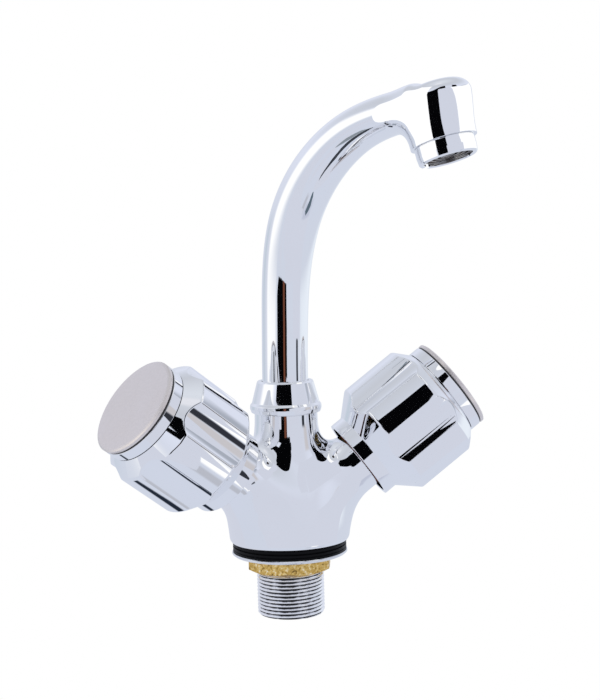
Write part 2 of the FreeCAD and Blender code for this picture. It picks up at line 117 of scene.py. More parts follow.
def outline(points, closed=True, seg=5):
    """Rounds the corners of a (r, z[, fillet]) outline. Returns points and, for each, the outline normal before and after it."""
    P = [np.array(p[:2], float) for p in points]
    F = [(p[2] if len(p) > 2 else 0.0) for p in points]
    n = len(P)
    out, nb, na = [], [], []

    def left(d):  # outward normal of a counter-clockwise outline in (r, z)
        return np.array([d[1], -d[0]])

    for i in range(n):
        p = P[i]
        a = P[i - 1] if (closed or i > 0) else None
        b = P[(i + 1) % n] if (closed or i < n - 1) else None
        if a is None or b is None:
            d = (b - p) if a is None else (p - a)
            d = d / np.linalg.norm(d)
            out.append(p)
            nb.append(left(d))
            na.append(left(d))
            continue
        d0, d1 = p - a, b - p
        l0, l1 = np.linalg.norm(d0), np.linalg.norm(d1)
        d0, d1 = d0 / l0, d1 / l1
        cosang = float(np.clip(d0 @ d1, -1, 1))
        turn = math.acos(cosang)
        f = F[i]
        if f <= 0 or turn < 0.02:
            out.append(p)
            if turn < math.radians(12):
                m = left(d0) + left(d1)
                m /= np.linalg.norm(m)
                nb.append(m)
                na.append(m)
            else:
                nb.append(left(d0))
                na.append(left(d1))
            continue
        t = f * math.tan(turn / 2)
        lim = 0.47 * min(l0, l1)
        if t > lim:
            f *= lim / t
            t = lim
        s = np.sign(d0[0] * d1[1] - d0[1] * d1[0])
        c = p - d0 * t + np.array([-d0[1], d0[0]]) * s * f
        k = max(2, int(math.ceil(seg * turn / (math.pi / 2))) + 1)
        for j in range(k + 1):
            ang = turn * j / k * s
            r0 = (p - d0 * t) - c
            ca, sa = math.cos(ang), math.sin(ang)
            q = c + np.array([ca * r0[0] - sa * r0[1], sa * r0[0] + ca * r0[1]])
            dd = np.array([ca * d0[0] - sa * d0[1], sa * d0[0] + ca * d0[1]])
            out.append(q)
            nb.append(left(dd))
            na.append(left(dd))
    return np.array(out), np.array(nb), np.array(na)


def grid_mesh(name, P, NB, NA, matrix=IDENT, closed_rows=True):
    """P: rows x columns x 3, columns closed. NB and NA: normals before and after each row."""
    K, M = P.shape[:2]
    rows = K if closed_rows else K - 1
    faces, norms = [], []
    k0 = np.arange(rows)
    k1 = (k0 + 1) % K
    m0 = np.arange(M)
    m1 = (m0 + 1) % M
    A, B = np.meshgrid(k0, m0, indexing="ij")
    A1, B1 = np.meshgrid(k1, m1, indexing="ij")
    idx = lambda a, b: a * M + b
    quads = np.stack([idx(A, B), idx(A, B1), idx(A1, B1), idx(A1, B)], -1).reshape(-1, 4)
    n = np.stack([NA[A, B], NA[A, B1], NB[A1, B1], NB[A1, B]], 2).reshape(-1, 3)
    return make_object(name, P.reshape(-1, 3), quads, n, matrix)


def lathe(name, points, matrix=IDENT, n=160, closed=True, seg=5):
    """Surface of revolution about the local z axis. Points run counter-clockwise in (r, z), so that the outside is on their right."""
    o, nb, na = outline(points, closed, seg)
    th = np.arange(n) * 2 * math.pi / n
    c, s = np.cos(th), np.sin(th)
    P = np.stack([o[:, 0, None] * c, o[:, 0, None] * s, np.repeat(o[:, 1, None], n, 1)], -1)
    NB = np.stack([nb[:, 0, None] * c, nb[:, 0, None] * s, np.repeat(nb[:, 1, None], n, 1)], -1)
    NA = np.stack([na[:, 0, None] * c, na[:, 0, None] * s, np.repeat(na[:, 1, None], n, 1)], -1)
    if closed:
        return grid_mesh(name, P, NB, NA, matrix)
    ob = grid_mesh(name, P, NB, NA, matrix, closed_rows=False)
    return ob


def merge_doubles(ob, dist=1e-7):
    bm = bmesh.new()
    bm.from_mesh(ob.data)
    bmesh.ops.remove_doubles(bm, verts=bm.verts, dist=dist)
    bm.to_mesh(ob.data)
    bm.free()


def solid_lathe(name, points, matrix=IDENT, n=160, seg=5):
    """Like lathe, for an outline that starts and ends on the axis: the poles are closed with fans."""
    o, nb, na = outline(points, closed=False, seg=seg)
    th = np.arange(n) * 2 * math.pi / n
    c, s = np.cos(th), np.sin(th)
    on = [i for i in range(len(o)) if o[i, 0] > 1e-9]
    first, last = on[0], on[-1]
    V, rows = [], []
    for i in range(first, last + 1):
        rows.append(len(V))
        V += [(o[i, 0] * c[j], o[i, 0] * s[j], o[i, 1]) for j in range(n)]
    b = len(V)
    V.append((0, 0, o[0, 1]))
    t = len(V)
    V.append((0, 0, o[-1, 1]))
    F, N = [], []

    def nn(v2, j):
        return (v2[0] * c[j], v2[0] * s[j], v2[1])

    for q, i in enumerate(range(first, last)):
        r0, r1 = rows[q], rows[q + 1]
        for j in range(n):
            k = (j + 1) % n
            F.append((r0 + j, r0 + k, r1 + k, r1 + j))
            N += [nn(na[i], j), nn(na[i], k), nn(nb[i + 1], k), nn(nb[i + 1], j)]
    for j in range(n):
        k = (j + 1) % n
        F.append((b, rows[0] + k, rows[0] + j))
        N += [(0, 0, na[0][1])] + [nn(nb[first], k), nn(nb[first], j)]
        F.append((t, rows[-1] + j, rows[-1] + k))
        N += [(0, 0, nb[-1][1])] + [nn(na[last], j), nn(na[last], k)]
    return make_object(name, V, F, N, matrix)


# ------------------------------------------------------------------ smooth surfaces from a distance field
def smin(a, b, k):
    h = np.clip(0.5 + 0.5 * (b - a) / k, 0, 1)
    return b * (1 - h) + a * h - k * h * (1 - h)


def evaluate(f, P, chunk=400000):
    out = np.empty(len(P))
    for i in range(0, len(P), chunk):
        out[i:i + chunk] = f(P[i:i + chunk])
    return out


def gradient(f, P, e=0.05):
    g = np.empty_like(P)
    for a in range(3):
        d = np.zeros(3)
        d[a] = e
        g[:, a] = (evaluate(f, P + d) - evaluate(f, P - d)) / (2 * e)
    return g


def surface_net(f, lo, hi, h, relax=6):
    lo, hi = np.array(lo, float), np.array(hi, float)
    n = np.ceil((hi - lo) / h).astype(int) + 1
    ax = [lo[i] + h * np.arange(n[i]) for i in range(3)]
    F = np.empty(n)
    for i in range(n[0]):
        Y, Z = np.meshgrid(ax[1], ax[2], indexing="ij")
        pts = np.stack([np.full(Y.size, ax[0][i]), Y.ravel(), Z.ravel()], -1)
        F[i] = f(pts).reshape(n[1], n[2])
    S = F < 0
    cells = np.array([n[0] - 1, n[1] - 1, n[2] - 1])
    acc = np.zeros((*cells, 3))
    cnt = np.zeros(cells)
    quads = []
    cid = np.full(cells, -1)
    edges = []
    for a in range(3):
        sl0 = [slice(None)] * 3
        sl1 = [slice(None)] * 3
        sl0[a], sl1[a] = slice(0, -1), slice(1, None)
        F0, F1 = F[tuple(sl0)], F[tuple(sl1)]
        mask = S[tuple(sl0)] != S[tuple(sl1)]
        I = np.argwhere(mask)
        f0, f1 = F0[mask], F1[mask]
        t = f0 / (f0 - f1)
        pos = lo + I * h
        pos[:, a] += t * h
        b, c = (a + 1) % 3, (a + 2) % 3
        ok = (I[:, b] > 0) & (I[:, c] > 0) & (I[:, b] < n[b] - 1) & (I[:, c] < n[c] - 1)
        I, pos, flip = I[ok], pos[ok], (f0[ok] < 0)
        around = []
        for db, dc in ((-1, -1), (0, -1), (0, 0), (-1, 0)):
            J = I.copy()
            J[:, b] += db
            J[:, c] += dc
            around.append(J)
            np.add.at(acc, tuple(J.T), pos)
            np.add.at(cnt, tuple(J.T), 1)
        edges.append((around, flip))
    active = cnt > 0
    cid[active] = np.arange(active.sum())
    V = acc[active] / cnt[active][:, None]
    for around, flip in edges:
        q = np.stack([cid[tuple(J.T)] for J in around], -1)
        q = np.where(flip[:, None], q, q[:, ::-1])
        quads.append(q)
    Q = np.concatenate(quads)
    # project on the surface, with some tangential relaxing for even faces
    E = np.concatenate([Q[:, [0, 1]], Q[:, [1, 2]], Q[:, [2, 3]], Q[:, [3, 0]]])
    deg = np.bincount(E[:, 0], minlength=len(V)) + np.bincount(E[:, 1], minlength=len(V))
    for it in range(relax):
        if it < relax - 2:
            m = np.zeros_like(V)
            np.add.at(m, E[:, 0], V[E[:, 1]])
            np.add.at(m, E[:, 1], V[E[:, 0]])
            V = 0.4 * V + 0.6 * m / deg[:, None]
        g = gradient(f, V)
        d = evaluate(f, V)
        V = V - g * (d / np.maximum((g * g).sum(1), 1e-6))[:, None]
    return V, Q


def boolean(ob, cutter, op="DIFFERENCE"):
    m = ob.modifiers.new("b", "BOOLEAN")
    m.operation, m.object, m.solver = op, cutter, "EXACT"
    dg = bpy.context.evaluated_depsgraph_get()
    me = bpy.data.meshes.new_from_object(ob.evaluated_get(dg))
    ob.modifiers.clear()
    old = ob.data
    ob.data = me
    bpy.data.meshes.remove(old)
    bpy.data.objects.remove(cutter)


def normals_from_field(ob, f, tol=0.004):
    """Exact normals on the faces that lie on the field's surface, plain ones on the rest."""
    me = ob.data
    co = np.empty(len(me.vertices) * 3)
    me.vertices.foreach_get("co", co)
    co = co.reshape(-1, 3) / MM
    on = np.abs(evaluate(f, co)) < tol
    g = np.zeros_like(co)
    g[on] = gradient(f, co[on])
    g /= np.maximum(np.linalg.norm(g, axis=1, keepdims=True), 1e-9)
    nl = len(me.loops)
    lv = np.empty(nl, int)
    me.loops.foreach_get("vertex_index", lv)
    start = np.empty(len(me.polygons), int)
    total = np.empty(len(me.polygons), int)
    me.polygons.foreach_get("loop_start", start)
    me.polygons.foreach_get("loop_total", total)
    pn = np.empty(len(me.polygons) * 3)
    me.polygons.foreach_get("normal", pn)
    pn = pn.reshape(-1, 3)
    pol = np.repeat(np.arange(len(start)), total)
    smooth_face = np.minimum.reduceat(on[lv].astype(int), start) > 0
    agree = (g[lv] * pn[pol]).sum(1) > 0.8
    use = smooth_face[pol] & agree
    N = np.where(use[:, None], g[lv], pn[pol])
    me.polygons.foreach_set("use_smooth", [True] * len(me.polygons))
    me.normals_split_custom_set([tuple(x) for x in N])
    me.update()


# ------------------------------------------------------------------ materials
def new_material(name, color, metallic, rough):
    m = bpy.data.materials.new(name)
    m.use_nodes = True
    nt = m.node_tree
    p = nt.nodes["Principled BSDF"]
    p.inputs["Base Color"].default_value = (*color, 1)
    p.inputs["Metallic"].default_value = metallic
    p.inputs["Roughness"].default_value = rough
    return m, nt, p


def coords(nt, scale=(1, 1, 1)):
    tc = nt.nodes.new("ShaderNodeTexCoord")
    mp = nt.nodes.new("ShaderNodeMapping")
    mp.inputs["Scale"].default_value = scale
    nt.links.new(tc.outputs["Object"], mp.inputs["Vector"])
    return mp.outputs["Vector"]


def noise(nt, vec, scale, detail=3.0, rough=0.5, distortion=0.0):
    n = nt.nodes.new("ShaderNodeTexNoise")
    n.inputs["Scale"].default_value = scale
    n.inputs["Detail"].default_value = detail
    n.inputs["Roughness"].default_value = rough
    n.inputs["Distortion"].default_value = distortion
    nt.links.new(vec, n.inputs["Vector"])
    return n.outputs["Fac"]


def ramp(nt, fac, stops):
    r = nt.nodes.new("ShaderNodeValToRGB")
    while len(r.color_ramp.elements) > 1:
        r.color_ramp.elements.remove(r.color_ramp.elements[-1])
    r.color_ramp.elements[0].position = stops[0][0]
    r.color_ramp.elements[0].color = (*stops[0][1], 1)
    for pos, col in stops[1:]:
        e = r.color_ramp.elements.new(pos)
        e.color = (*col, 1)
    nt.links.new(fac, r.inputs["Fac"])
    return r.outputs["Color"]


def map_range(nt, fac, a, b, c, d):
    m = nt.nodes.new("ShaderNodeMapRange")
    m.inputs["From Min"].default_value = a
    m.inputs["From Max"].default_value = b
    m.inputs["To Min"].default_value = c
    m.inputs["To Max"].default_value = d
    nt.links.new(fac, m.inputs["Value"])
    return m.outputs["Result"]


def bump(nt, p, height, strength, distance):
    b = nt.nodes.new("ShaderNodeBump")
    b.inputs["Strength"].default_value = strength
    b.inputs["Distance"].default_value = distance
    nt.links.new(height, b.inputs["Height"])
    nt.links.new(b.outputs["Normal"], p.inputs["Normal"])
    return b


def chrome_material(name, tint=(0.93, 0.935, 0.95), rough=0.025, wave=0.00002, speck=0.35):
    m, nt, p = new_material(name, tint, 1.0, rough)
    v = coords(nt)
    # faint haze patches, and the soft ripple of polished castings
    haze = noise(nt, v, 38.0, 4.0, 0.55)
    nt.links.new(map_range(nt, haze, 0.35, 0.8, rough * 0.7, rough * 2.2), p.inputs["Roughness"])
    col = ramp(nt, noise(nt, v, 25.0, 2.0), [(0.3, tuple(c * 0.985 for c in tint)), (0.7, tint)])
    nt.links.new(col, p.inputs["Base Color"])
    bump(nt, p, noise(nt, v, 140.0, 2.0, 0.4), 0.6, wave)
    return m


MAT = {}
MAT["chromed_body"] = chrome_material("chrome_body", wave=0.00003)
MAT["chromed_spout"] = chrome_material("chrome_spout", wave=0.00002)
MAT["chromed_brass"] = chrome_material("chrome_turned", wave=0.00001)
MAT["chromed_handle"] = chrome_material("chrome_handle", wave=0.000008)

m, nt, p = new_material("satin_disc", (0.78, 0.72, 0.69), 1.0, 0.34)
v = coords(nt)
fine = noise(nt, v, 900.0, 2.0, 0.6)
nt.links.new(map_range(nt, noise(nt, v, 60.0, 4.0), 0.3, 0.7, 0.28, 0.42), p.inputs["Roughness"])
nt.links.new(ramp(nt, fine, [(0.3, (0.765, 0.706, 0.678)), (0.7, (0.80, 0.738, 0.708))]), p.inputs["Base Color"])
bump(nt, p, fine, 0.01, 0.000002)
MAT["satin_disc"] = m

# painted highlight on the crests and painted shade in the roots of the thread, by radius, with a random mottle
m, nt, p = new_material("plated_thread", (0.88, 0.88, 0.89), 1.0, 0.12)
v = coords(nt)
flat = nt.nodes.new("ShaderNodeVectorMath")
flat.operation = "MULTIPLY"
flat.inputs[1].default_value = (1, 1, 0)
nt.links.new(v, flat.inputs[0])
radius = nt.nodes.new("ShaderNodeVectorMath")
radius.operation = "LENGTH"
nt.links.new(flat.outputs["Vector"], radius.inputs[0])
root_shade = nt.nodes.new("ShaderNodeMath")
root_shade.operation = "ADD"
nt.links.new(map_range(nt, radius.outputs["Value"], 0.01308, 0.01400, 0.0, 1.0), root_shade.inputs[0])
nt.links.new(map_range(nt, noise(nt, v, 420.0, 4.0, 0.6), 0.3, 0.7, -0.16, 0.16), root_shade.inputs[1])
# a painted dark band down one side, standing in for a dark reflection
side = nt.nodes.new("ShaderNodeVectorMath")
side.operation = "NORMALIZE"
nt.links.new(flat.outputs["Vector"], side.inputs[0])
toward = nt.nodes.new("ShaderNodeVectorMath")
toward.operation = "DOT_PRODUCT"
toward.inputs[1].default_value = (-0.469, -0.883, 0)
nt.links.new(side.outputs["Vector"], toward.inputs[0])
painted_shade = nt.nodes.new("ShaderNodeMath")
painted_shade.operation = "SUBTRACT"
nt.links.new(root_shade.outputs[0], painted_shade.inputs[0])
nt.links.new(map_range(nt, toward.outputs["Value"], 0.945, 0.985, 0.0, 0.22), painted_shade.inputs[1])
# colour ramp: painted shade in the roots and in the band, painted highlight on the crests
nt.links.new(ramp(nt, painted_shade.outputs[0], [(0.0, (0.06, 0.06, 0.062)), (0.10, (0.24, 0.24, 0.245)), (0.23, (0.86, 0.86, 0.87)), (0.50, (0.98, 0.98, 0.99))]), p.inputs["Base Color"])
nt.links.new(map_range(nt, root_shade.outputs[0], 0.2, 0.9, 0.35, 0.07), p.inputs["Roughness"])
bump(nt, p, noise(nt, v, 900.0, 4.0, 0.6), 0.2, 0.00003)
MAT["plated_shank"] = m

# rough sawn brass: dark pits, and pale chips where it was knocked
m, nt, p = new_material("raw_brass", (0.80, 0.56, 0.18), 1.0, 0.36)
v = coords(nt)
patch = noise(nt, v, 620.0, 5.0, 0.65, 0.5)
nt.links.new(ramp(nt, patch, [(0.34, (0.09, 0.055, 0.02)), (0.42, (0.56, 0.35, 0.09)), (0.53, (0.74, 0.50, 0.15)), (0.62, (0.90, 0.70, 0.34)), (0.69, (1.0, 0.96, 0.90))]), p.inputs["Base Color"])
nt.links.new(map_range(nt, patch, 0.3, 0.75, 0.48, 0.2), p.inputs["Roughness"])
bump(nt, p, noise(nt, v, 700.0, 5.0, 0.65), 0.9, 0.0003)
MAT["raw_brass"] = m

m, nt, p = new_material("zinc_steel", (0.80, 0.81, 0.83), 1.0, 0.16)
v = coords(nt)
nt.links.new(map_range(nt, noise(nt, v, 200.0, 4.0), 0.3, 0.7, 0.09, 0.26), p.inputs["Roughness"])
bump(nt, p, noise(nt, v, 700.0, 3.0), 0.15, 0.00003)
MAT["zinc_steel"] = m

m, nt, p = new_material("spring_steel", (0.22, 0.22, 0.24), 1.0, 0.35)
bump(nt, p, noise(nt, coords(nt), 900.0, 3.0), 0.2, 0.00003)
MAT["spring_steel"] = m

m, nt, p = new_material("steel_mesh", (0.6, 0.6, 0.6), 1.0, 0.35)
bump(nt, p, noise(nt, coords(nt), 1500.0, 2.0), 0.6, 0.0001)
MAT["steel_mesh"] = m

m, nt, p = new_material("black_rubber", (0.002, 0.002, 0.003), 0.0, 0.38)
p.inputs["Specular IOR Level"].default_value = 0.1
v = coords(nt)
nt.links.new(map_range(nt, noise(nt, v, 250.0, 4.0), 0.3, 0.7, 0.30, 0.52), p.inputs["Roughness"])
bump(nt, p, noise(nt, v, 800.0, 3.0), 0.2, 0.00003)
MAT["black_rubber"] = m

m, nt, p = new_material("seal_rubber", (0.02, 0.02, 0.02), 0.0, 0.45)
bump(nt, p, noise(nt, coords(nt), 900.0, 3.0), 0.2, 0.00003)
MAT["seal_rubber"] = m

m, nt, p = new_material("red_fibre", (0.36, 0.07, 0.04), 0.0, 0.8)
bump(nt, p, noise(nt, coords(nt), 900.0, 3.0), 0.5, 0.00005)
MAT["red_fibre"] = m

m, nt, p = new_material("white_nylon", (0.82, 0.82, 0.78), 0.0, 0.5)
bump(nt, p, noise(nt, coords(nt), 500.0, 3.0), 0.15, 0.00003)
MAT["white_nylon"] = m

m, nt, p = new_material("aerator_plastic", (0.05, 0.04, 0.035), 0.0, 0.3)
v = coords(nt)
nt.links.new(ramp(nt, noise(nt, v, 350.0, 4.0), [(0.35, (0.02, 0.016, 0.014)), (0.7, (0.16, 0.13, 0.11))]), p.inputs["Base Color"])
bump(nt, p, noise(nt, v, 800.0, 3.0), 0.3, 0.00005)
MAT["aerator_plastic"] = m

SLOT_OF = {s["node"]: s["material_slot"] for s in frame["record"]["subparts"]}


def finish_piece(ob, slot, body, *nodes):
    ob.data.materials.clear()
    ob.data.materials.append(MAT[slot])
    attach(ob, body)
    if nodes:
        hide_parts(*nodes)
    return ob


# carried-over CAD pieces get the finish of their slot
for node, ob in frame["nodes"].items():
    mat = MAT[SLOT_OF[node]]
    if not ob.data.materials:
        ob.data.materials.append(mat)
    for i in range(len(ob.data.materials)):
        ob.data.materials[i] = mat


# ------------------------------------------------------------------ body casting
_kn = np.array([(24.8, 0.0), (24.8, 8.5), (24.3, 13.0), (22.9, 18.5), (20.4, 25.0), (17.4, 32.0), (15.0, 39.5), (13.6, 47.0), (13.05, 53.0), (13.0, 60.0)])


def monotone(xs, ys):
    """Cubic through the points with slopes that never overshoot."""
    h = np.diff(xs)
    d = np.diff(ys) / h
    m = np.zeros(len(xs))
    for i in range(1, len(xs) - 1):
        if d[i - 1] * d[i] > 0:
            w1, w2 = 2 * h[i] + h[i - 1], h[i] + 2 * h[i - 1]
            m[i] = (w1 + w2) / (w1 / d[i - 1] + w2 / d[i])
    m[0], m[-1] = d[0], d[-1]

    def val(x):
        x = np.clip(x, xs[0], xs[-1])
        i = np.clip(np.searchsorted(xs, x) - 1, 0, len(xs) - 2)
        t = (x - xs[i]) / h[i]
        return (ys[i] * (2 * t**3 - 3 * t**2 + 1) + m[i] * h[i] * (t**3 - 2 * t**2 + t)
                + ys[i + 1] * (-2 * t**3 + 3 * t**2) + m[i + 1] * h[i] * (t**3 - t**2))
    return val


def smooth_table(fn, lo, hi, width, n=2400):
    """A table of fn, smoothed so that its slope and curvature run on evenly."""
    x = np.linspace(lo, hi, n)
    y = fn(x)
    s = width / (x[1] - x[0])
    k = np.exp(-0.5 * (np.arange(-int(4 * s), int(4 * s) + 1) / s) ** 2)
    k /= k.sum()
    pad = len(k) // 2
    yp = np.concatenate([2 * y[0] - y[pad:0:-1], y, 2 * y[-1] - y[-2:-pad - 2:-1]])
    y2 = np.convolve(yp, k, "valid")
    return lambda q: np.interp(q, x, y2), (x, y2)


profile, _tab = smooth_table(monotone(_kn[:, 1], _kn[:, 0]), 0.0, 60.0, 1.6)
_slope = np.gradient(_tab[1], _tab[0])
BODY_BLEND = 11.0
ARM_BLEND_Z = 0.0


def arm_radius(L):
    return np.interp(L, [0, 12, 22, 31, 40], [14.4, 14.0, 13.2, 12.6, 12.6])


arm_tab, _ = smooth_table(arm_radius, 0, 40, 2.0, 800)


def body_field(P):
    rho = np.hypot(P[:, 0], P[:, 1])
    z = P[:, 2]
    s = np.interp(z, _tab[0], _slope)
    f = (rho - profile(z)) / np.sqrt(1 + s * s)
    # rounded lower edge
    q0 = rho - (24.8 - 2.2)
    q1 = (2.66 + 2.2) - z
    low = np.hypot(np.maximum(q0, 0), np.maximum(q1, 0)) - 2.2 + np.minimum(np.maximum(q0, q1), 0)
    f = np.where(z < 8.0, np.maximum(f, low), f)
    arms = None
    for side in (1, -1):
        M = ARM[side]
        q = (P - M[:3, 3]) @ M[:3, :3]
        ra = np.hypot(q[:, 0], q[:, 1])
        L = q[:, 2]
        a = ra - arm_tab(np.clip(L, 0, 40))
        # closed softly at the inner end
        a = np.hypot(np.maximum(a + 6, 0), np.maximum(8 - L, 0) * 0.8) - 6 + np.minimum(np.maximum(a + 6, 8 - L), 0) * 0
        a = np.maximum(a, L - 41.0)
        arms = a if arms is None else np.minimum(arms, a)
    return smin(np.maximum(f, z - 58.5), arms, BODY_BLEND)


def cylinder_cutter(r, z0, z1, matrix=IDENT, n=128, r2=None):
    return solid_lathe("cut", [(0, z0), (r, z0), (r if r2 is None else r2, z1), (0, z1)], matrix, n)


def box_cutter(lo, hi):
    lo, hi = np.array(lo, float), np.array(hi, float)
    c = [(x, y, z) for x in (lo[0], hi[0]) for y in (lo[1], hi[1]) for z in (lo[2], hi[2])]
    f = [(0, 1, 3, 2), (4, 6, 7, 5), (0, 4, 5, 1), (2, 3, 7, 6), (0, 2, 6, 4), (1, 5, 7, 3)]
    return make_object("cut", c, f)


def build_body():
    h = 0.75
    V, Q = surface_net(body_field, (-47, -29, -6), (47, 29, 61), h)
    ob = make_object("body_casting_skin", V, Q)
    boolean(ob, box_cutter((-60, -60, -20), (60, 60, 2.66)))
    boolean(ob, box_cutter((-20, -20, 56.2), (20, 20, 70)))
    for side in (1, -1):
        boolean(ob, cylinder_cutter(30, 37.5, 70, ARM[side]))
        boolean(ob, cylinder_cutter(9.3, 22.8, 60, ARM[side]))
    boolean(ob, cylinder_cutter(13.83, -1, 11.0))
    for side in (1, -1):
        boolean(ob, cylinder_cutter(4.5, 10, 21.9, np.array([[1, 0, 0, side * 5.9], [0, 1, 0, 0], [0, 0, 1, 0], [0, 0, 0, 1.0]]), 64))
    boolean(ob, solid_lathe("cut", [(0, 55.9), (10.9, 55.9), (10.9, 63.9), (0, 63.9)], IDENT, 128), "UNION")
    boolean(ob, cylinder_cutter(8.55, 48.6, 80))
    normals_from_field(ob, body_field)
    return finish_piece(ob, "chromed_body", "tap_body", "body_casting")


build_body()


# ------------------------------------------------------------------ spout
def spline_table(points, n=1200):
    """Natural cubic through the points by chord length, sampled finely."""
    P = np.array(points, float)
    d = np.concatenate([[0], np.cumsum(np.hypot(np.diff(P[:, 0]), np.diff(P[:, 1])))])
    k = len(P)
    A = np.zeros((k, k))
    B = np.zeros((k, P.shape[1]))
    A[0, 0] = A[-1, -1] = 1
    h = np.diff(d)
    for i in range(1, k - 1):
        A[i, i - 1], A[i, i], A[i, i + 1] = h[i - 1], 2 * (h[i - 1] + h[i]), h[i]
        B[i] = 6 * ((P[i + 1] - P[i]) / h[i] - (P[i] - P[i - 1]) / h[i - 1])
    M = np.linalg.solve(A, B)
    s = np.linspace(0, d[-1], n)
    i = np.clip(np.searchsorted(d, s) - 1, 0, k - 2)
    t0, t1 = (d[i + 1] - s)[:, None], (s - d[i])[:, None]
    hi = h[i][:, None]
    out = M[i] * t0**3 / (6 * hi) + M[i + 1] * t1**3 / (6 * hi) + (P[i] / hi - M[i] * hi / 6) * t0 + (P[i + 1] / hi - M[i + 1] * hi / 6) * t1
    # even out small waves left by the measured points
    w = 5.0 / (s[1] - s[0])
    ker = np.exp(-0.5 * (np.arange(-int(3 * w), int(3 * w) + 1) / w) ** 2)
    ker /= ker.sum()
    pad = len(ker) // 2
    sm = np.empty_like(out)
    for c in range(out.shape[1]):
        y = out[:, c]
        yp = np.concatenate([2 * y[0] - y[pad:0:-1], y, 2 * y[-1] - y[-2:-pad - 2:-1]])
        sm[:, c] = np.convolve(yp, ker, "valid")
    T = np.gradient(sm[:, :2], axis=0)
    T /= np.linalg.norm(T, axis=1, keepdims=True)
    return sm, T


LINE, TAN = spline_table(SPOUT_LINE)
HEAD_R, HEAD_TOP, HEAD_ROUND, HEAD_BLEND = 13.0, 28.6, 5.5, 8.0


def spout_tube_field(Q):
    """Q in the spout's own frame: x reach, y across, z height."""
    x, y, z = Q.T
    step = 12
    C = LINE[::step, :2]
    pts = Q[:, [0, 2]]
    # nearest sample, then a finer look around it
    d2 = ((pts[:, None, :] - C[None]) ** 2).sum(-1)
    i = d2.argmin(1) * step
    best = i.copy()
    bd = ((pts - LINE[best, :2]) ** 2).sum(-1)
    for off in range(-step, step + 1, 2):
        j = np.clip(i + off, 0, len(LINE) - 1)
        d = ((pts - LINE[j, :2]) ** 2).sum(-1)
        m = d < bd
        best[m], bd[m] = j[m], d[m]
    # exact parameter between samples, stepping along the tangent
    u = best.astype(float)
    for _ in range(6):
        i0 = np.clip(u.astype(int), 0, len(LINE) - 2)
        fr = (u - i0)[:, None]
        L = LINE[i0] * (1 - fr) + LINE[i0 + 1] * fr
        T = TAN[i0] * (1 - fr) + TAN[i0 + 1] * fr
        T /= np.linalg.norm(T, axis=1, keepdims=True)
        ds = np.hypot(*(LINE[i0 + 1, :2] - LINE[i0, :2]).T)
        u = np.clip(u + ((pts - L[:, :2]) * T).sum(-1) / ds, 0, len(LINE) - 1)
    i0 = np.clip(u.astype(int), 0, len(LINE) - 2)
    fr = (u - i0)[:, None]
    L = LINE[i0] * (1 - fr) + LINE[i0 + 1] * fr
    T = TAN[i0] * (1 - fr) + TAN[i0 + 1] * fr
    T /= np.linalg.norm(T, axis=1, keepdims=True)
    rel = pts - L[:, :2]
    nrm = rel[:, 0] * -T[:, 1] + rel[:, 1] * T[:, 0]
    a = (rel * T).sum(-1)
    n, w = L[:, 2], L[:, 3]
    k = np.sqrt((nrm / n) ** 2 + (y / w) ** 2)
    g = np.sqrt((nrm / n**2) ** 2 + (y / w**2) ** 2)
    f = np.where(k > 1e-6, (k - 1) * k / np.maximum(g, 1e-9), -np.minimum(n, w))
    # rounded off past the line's two ends
    return np.where(np.abs(a) > 1e-3, np.hypot(np.maximum(f, 0), a) + np.minimum(f, 0), f)


def head_field(Q):
    t = TILT
    x = Q[:, 0] - OUT_H
    z = Q[:, 2] - OUT_Z
    lx = math.cos(t) * x + math.sin(t) * z
    lz = -math.sin(t) * x + math.cos(t) * z
    # the head leans outwards and widens a little towards its crown
    g = np.clip((lz - 6.75) / 20.0, 0, 1)
    g = g * g * (3 - 2 * g)
    r = np.hypot(lx - 2.1 * g, Q[:, 1])
    R = HEAD_R + 0.8 * g
    q0, q1 = r - (R - HEAD_ROUND), lz - (HEAD_TOP - HEAD_ROUND)
    top = np.hypot(np.maximum(q0, 0), np.maximum(q1, 0)) + np.minimum(np.maximum(q0, q1), 0) - HEAD_ROUND
    return np.maximum(top, 2.0 - lz)


def spout_field(Q):
    return smin(spout_tube_field(Q), head_field(Q), HEAD_BLEND)


def build_spout():
    h = 0.7
    V, Q = surface_net(spout_field, (-14, -16, 60), (96, 16, 192), h)
    ob = make_object("spout_skin", V, Q, None, SPT)

    def world_field(P):
        return spout_field(P @ SPT[:3, :3])

    boolean(ob, box_cutter((-60, -60, 40), (60, 60, 66.7)))
    boolean(ob, cylinder_cutter(40, -60, 6.75, OUT))
    foot = lathe("foot", [(5.6, 49.5), (8.0, 49.5), (8.5, 50.0), (8.5, 52.3), (6.9, 52.3), (6.9, 54.1), (8.5, 54.1), (8.5, 57.3), (6.9, 57.3), (6.9, 59.1), (8.5, 59.1), (8.5, 64.7), (8.1, 64.7), (8.1, 67.2), (5.6, 67.2)], IDENT, 96)
    boolean(ob, cylinder_cutter(5.6, 40, 67.6))
    boolean(ob, foot, "UNION")
    boolean(ob, cylinder_cutter(11.05, 0, 15.3, OUT))
    boolean(ob, cylinder_cutter(8.4, 15, 24, OUT))
    normals_from_field(ob, world_field)
    return finish_piece(ob, "chromed_spout", "spout_group", "spout")


build_spout()

# ------------------------------------------------------------------ collar nut
finish_piece(lathe("spout_nut_skin", [
    (10.95, 56.25), (13.2, 56.25, 0.15), (14.3, 56.7, 0.5), (14.85, 58.3, 1.2), (14.75, 59.7, 0.8), (14.1, 60.55, 0.3), (13.95, 60.75, 0.25), (11.75, 69.0, 0.6), (11.35, 69.7, 0.35), (9.75, 69.7, 0.3), (9.75, 67.0), (10.95, 67.0)], IDENT, 192, seg=6),
    "chromed_brass", "tap_body", "spout_nut")


# ------------------------------------------------------------------ threaded shank
def thread_z(th):
    return th


